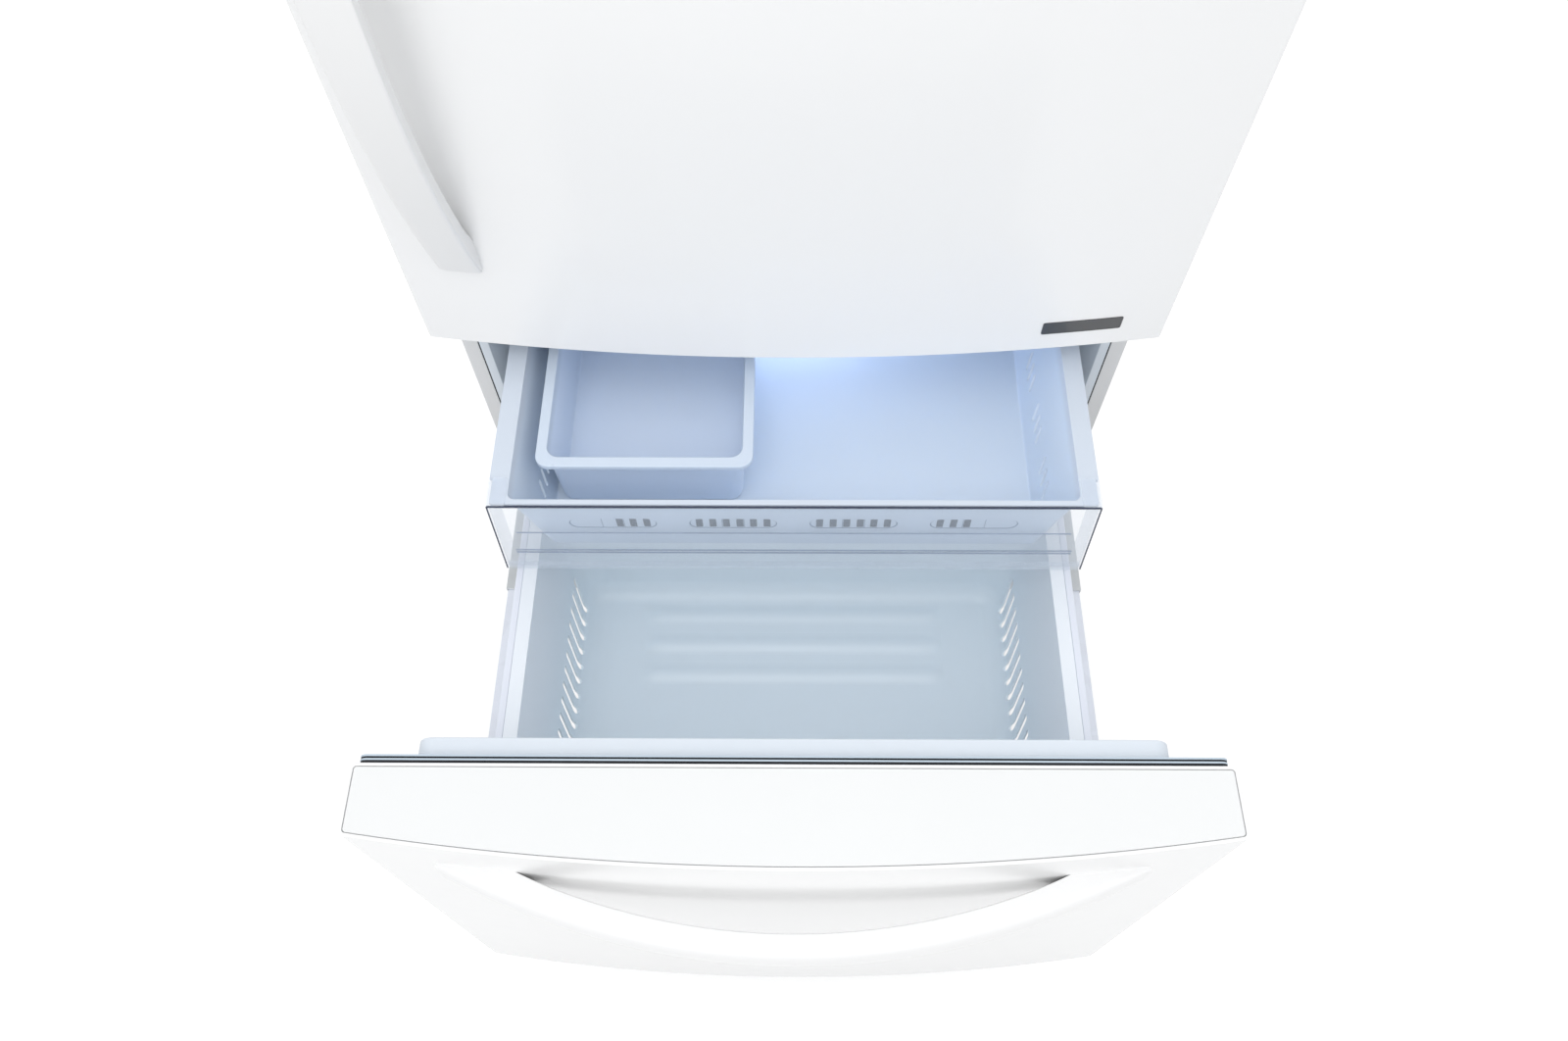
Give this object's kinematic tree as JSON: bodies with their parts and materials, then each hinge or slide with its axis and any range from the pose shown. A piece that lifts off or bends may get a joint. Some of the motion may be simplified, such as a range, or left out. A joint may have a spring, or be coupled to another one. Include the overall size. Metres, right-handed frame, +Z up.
{
  "type": "bottom freezer refrigerator",
  "caption": "Free-standing refrigerator with a bowed hinged door above and a bowed pull-out freezer drawer below, holding a slotted basket, an upper drawer and an ice bin.",
  "frame": {"origin": "on the floor, under the middle of the whole part's box with both drawers pulled out", "axes": "+Z up, +Y from the doors towards the rear panel, +X to the right as seen from the front"},
  "size_m": [0.832, 1.476, 1.772],
  "materials": {
    "painted_front": "gloss",
    "painted_cabinet": "satin",
    "handle_white": "gloss",
    "white_plastic": "satin",
    "foam": "matte",
    "liner_plastic": "satin",
    "drawer_plastic": "satin",
    "bin_plastic": "satin",
    "clear_plastic": "gloss",
    "shelf_glass": "gloss",
    "gasket_rubber": "matte",
    "galvanised_steel": "satin",
    "aluminium": "satin",
    "copper": "satin",
    "compressor_black": "satin",
    "black_plastic": "satin",
    "label_dark": "satin",
    "lamp_lens": "satin"
  },
  "bodies": {
    "cabinet": {"cabinet_shell": "painted_cabinet", "rear_panel": "painted_cabinet", "cabinet_foam": "foam", "fridge_liner": "liner_plastic", "freezer_liner": "liner_plastic", "mullion_bar": "painted_cabinet", "base_frame": "galvanised_steel", "base_grille": "white_plastic", "compressor_cover": "galvanised_steel", "cord_inlet": "black_plastic", "compressor": "compressor_black", "condenser_coil": "copper", "freezer_rear_panel": "liner_plastic", "evaporator": "aluminium", "fridge_air_duct": "liner_plastic", "control_panel": "black_plastic", "freezer_lamp": "lamp_lens", "glass_shelf_lower": "shelf_glass", "glass_shelf_upper": "shelf_glass", "crisper_cover": "shelf_glass", "top_hinge": "galvanised_steel", "top_hinge_cover": "white_plastic", "middle_hinge": "galvanised_steel", "outer_slide_left": "galvanised_steel", "outer_slide_right": "galvanised_steel"},
    "fridge_door": {"fridge_door_skin": "painted_front", "fridge_door_foam": "foam", "fridge_door_top_cap": "white_plastic", "fridge_door_bottom_cap": "white_plastic", "fridge_door_liner": "liner_plastic", "fridge_door_gasket": "gasket_rubber", "fridge_door_handle": "handle_white", "label_plate": "label_dark", "door_bin_lower": "drawer_plastic", "door_bin_middle": "drawer_plastic", "dairy_box": "drawer_plastic"},
    "dairy_lid": {"dairy_lid": "clear_plastic"},
    "freezer_drawer": {"freezer_drawer_skin": "painted_front", "freezer_drawer_foam": "foam", "freezer_drawer_top_cap": "white_plastic", "freezer_drawer_bottom_cap": "white_plastic", "freezer_drawer_liner": "liner_plastic", "freezer_drawer_gasket": "gasket_rubber", "freezer_drawer_handle": "handle_white", "freezer_basket": "drawer_plastic", "drawer_slide_left": "galvanised_steel", "drawer_slide_right": "galvanised_steel"},
    "middle_slides": {"middle_slide_left": "galvanised_steel", "middle_slide_right": "galvanised_steel"},
    "upper_drawer": {"upper_drawer": "drawer_plastic", "upper_drawer_cover": "clear_plastic"},
    "ice_bin": {"ice_bin": "bin_plastic"},
    "crisper_left": {"crisper_left": "drawer_plastic"},
    "crisper_right": {"crisper_right": "drawer_plastic"},
    "levelling_leg_left": {"levelling_leg_left": "galvanised_steel"},
    "levelling_leg_right": {"levelling_leg_right": "galvanised_steel"},
    "rear_roller_left": {"rear_roller_left": "black_plastic"},
    "rear_roller_right": {"rear_roller_right": "black_plastic"},
    "evaporator_fan": {"evaporator_fan": "black_plastic"},
    "condenser_fan": {"condenser_fan": "black_plastic"}
  },
  "joints": [
    {"name": "fridge_door_hinge", "type": "hinge", "parent": "cabinet", "child": "fridge_door", "pos_m": [0.404, -0.042, 1.2], "axis": [0, 0, 1], "range_deg": [0, 125]},
    {"name": "dairy_lid_hinge", "type": "hinge", "parent": "fridge_door", "child": "dairy_lid", "pos_m": [0, 0.0023, 1.5453], "axis": [1, 0, 0], "range_deg": [0, 80]},
    {"name": "freezer_drawer_slide", "type": "slide", "parent": "cabinet", "child": "freezer_drawer", "axis": [0, -1, 0], "range_m": [-0.564, 0]},
    {"name": "middle_slides_slide", "type": "slide", "parent": "cabinet", "child": "middle_slides", "axis": [0, -1, 0], "range_m": [-0.282, 0]},
    {"name": "upper_drawer_slide", "type": "slide", "parent": "cabinet", "child": "upper_drawer", "axis": [0, -1, 0], "range_m": [-0.3102, 0]},
    {"name": "ice_bin_slide", "type": "slide", "parent": "upper_drawer", "child": "ice_bin", "axis": [1, 0, 0], "range_m": [0, 0.335]},
    {"name": "crisper_left_slide", "type": "slide", "parent": "cabinet", "child": "crisper_left", "axis": [0, -1, 0], "range_m": [0, 0.22]},
    {"name": "crisper_right_slide", "type": "slide", "parent": "cabinet", "child": "crisper_right", "axis": [0, -1, 0], "range_m": [0, 0.22]},
    {"name": "leg_left_screw", "type": "hinge", "parent": "cabinet", "child": "levelling_leg_left", "pos_m": [-0.35, 0.046, 0.02], "axis": [0, 0, 1], "continuous": true},
    {"name": "leg_right_screw", "type": "hinge", "parent": "cabinet", "child": "levelling_leg_right", "pos_m": [0.35, 0.046, 0.02], "axis": [0, 0, 1], "continuous": true},
    {"name": "roller_left_spin", "type": "hinge", "parent": "cabinet", "child": "rear_roller_left", "pos_m": [-0.36, 0.67, 0.02], "axis": [1, 0, 0], "continuous": true},
    {"name": "roller_right_spin", "type": "hinge", "parent": "cabinet", "child": "rear_roller_right", "pos_m": [0.36, 0.67, 0.02], "axis": [1, 0, 0], "continuous": true},
    {"name": "evaporator_fan_spin", "type": "hinge", "parent": "cabinet", "child": "evaporator_fan", "pos_m": [0, 0.5943, 0.625], "axis": [0, 1, 0], "continuous": true},
    {"name": "condenser_fan_spin", "type": "hinge", "parent": "cabinet", "child": "condenser_fan", "pos_m": [0.045, 0.628, 0.16], "axis": [0, 1, 0], "continuous": true}
  ],
  "couplings": [
    {"joint": "middle_slides_slide", "follows": "freezer_drawer_slide", "ratio": 0.5},
    {"joint": "upper_drawer_slide", "follows": "freezer_drawer_slide", "ratio": 0.55},
    {"joint": "crisper_left_slide", "follows": "fridge_door_hinge", "m_per_rad": 0.1008},
    {"joint": "crisper_right_slide", "follows": "fridge_door_hinge", "m_per_rad": 0.1008}
  ]
}
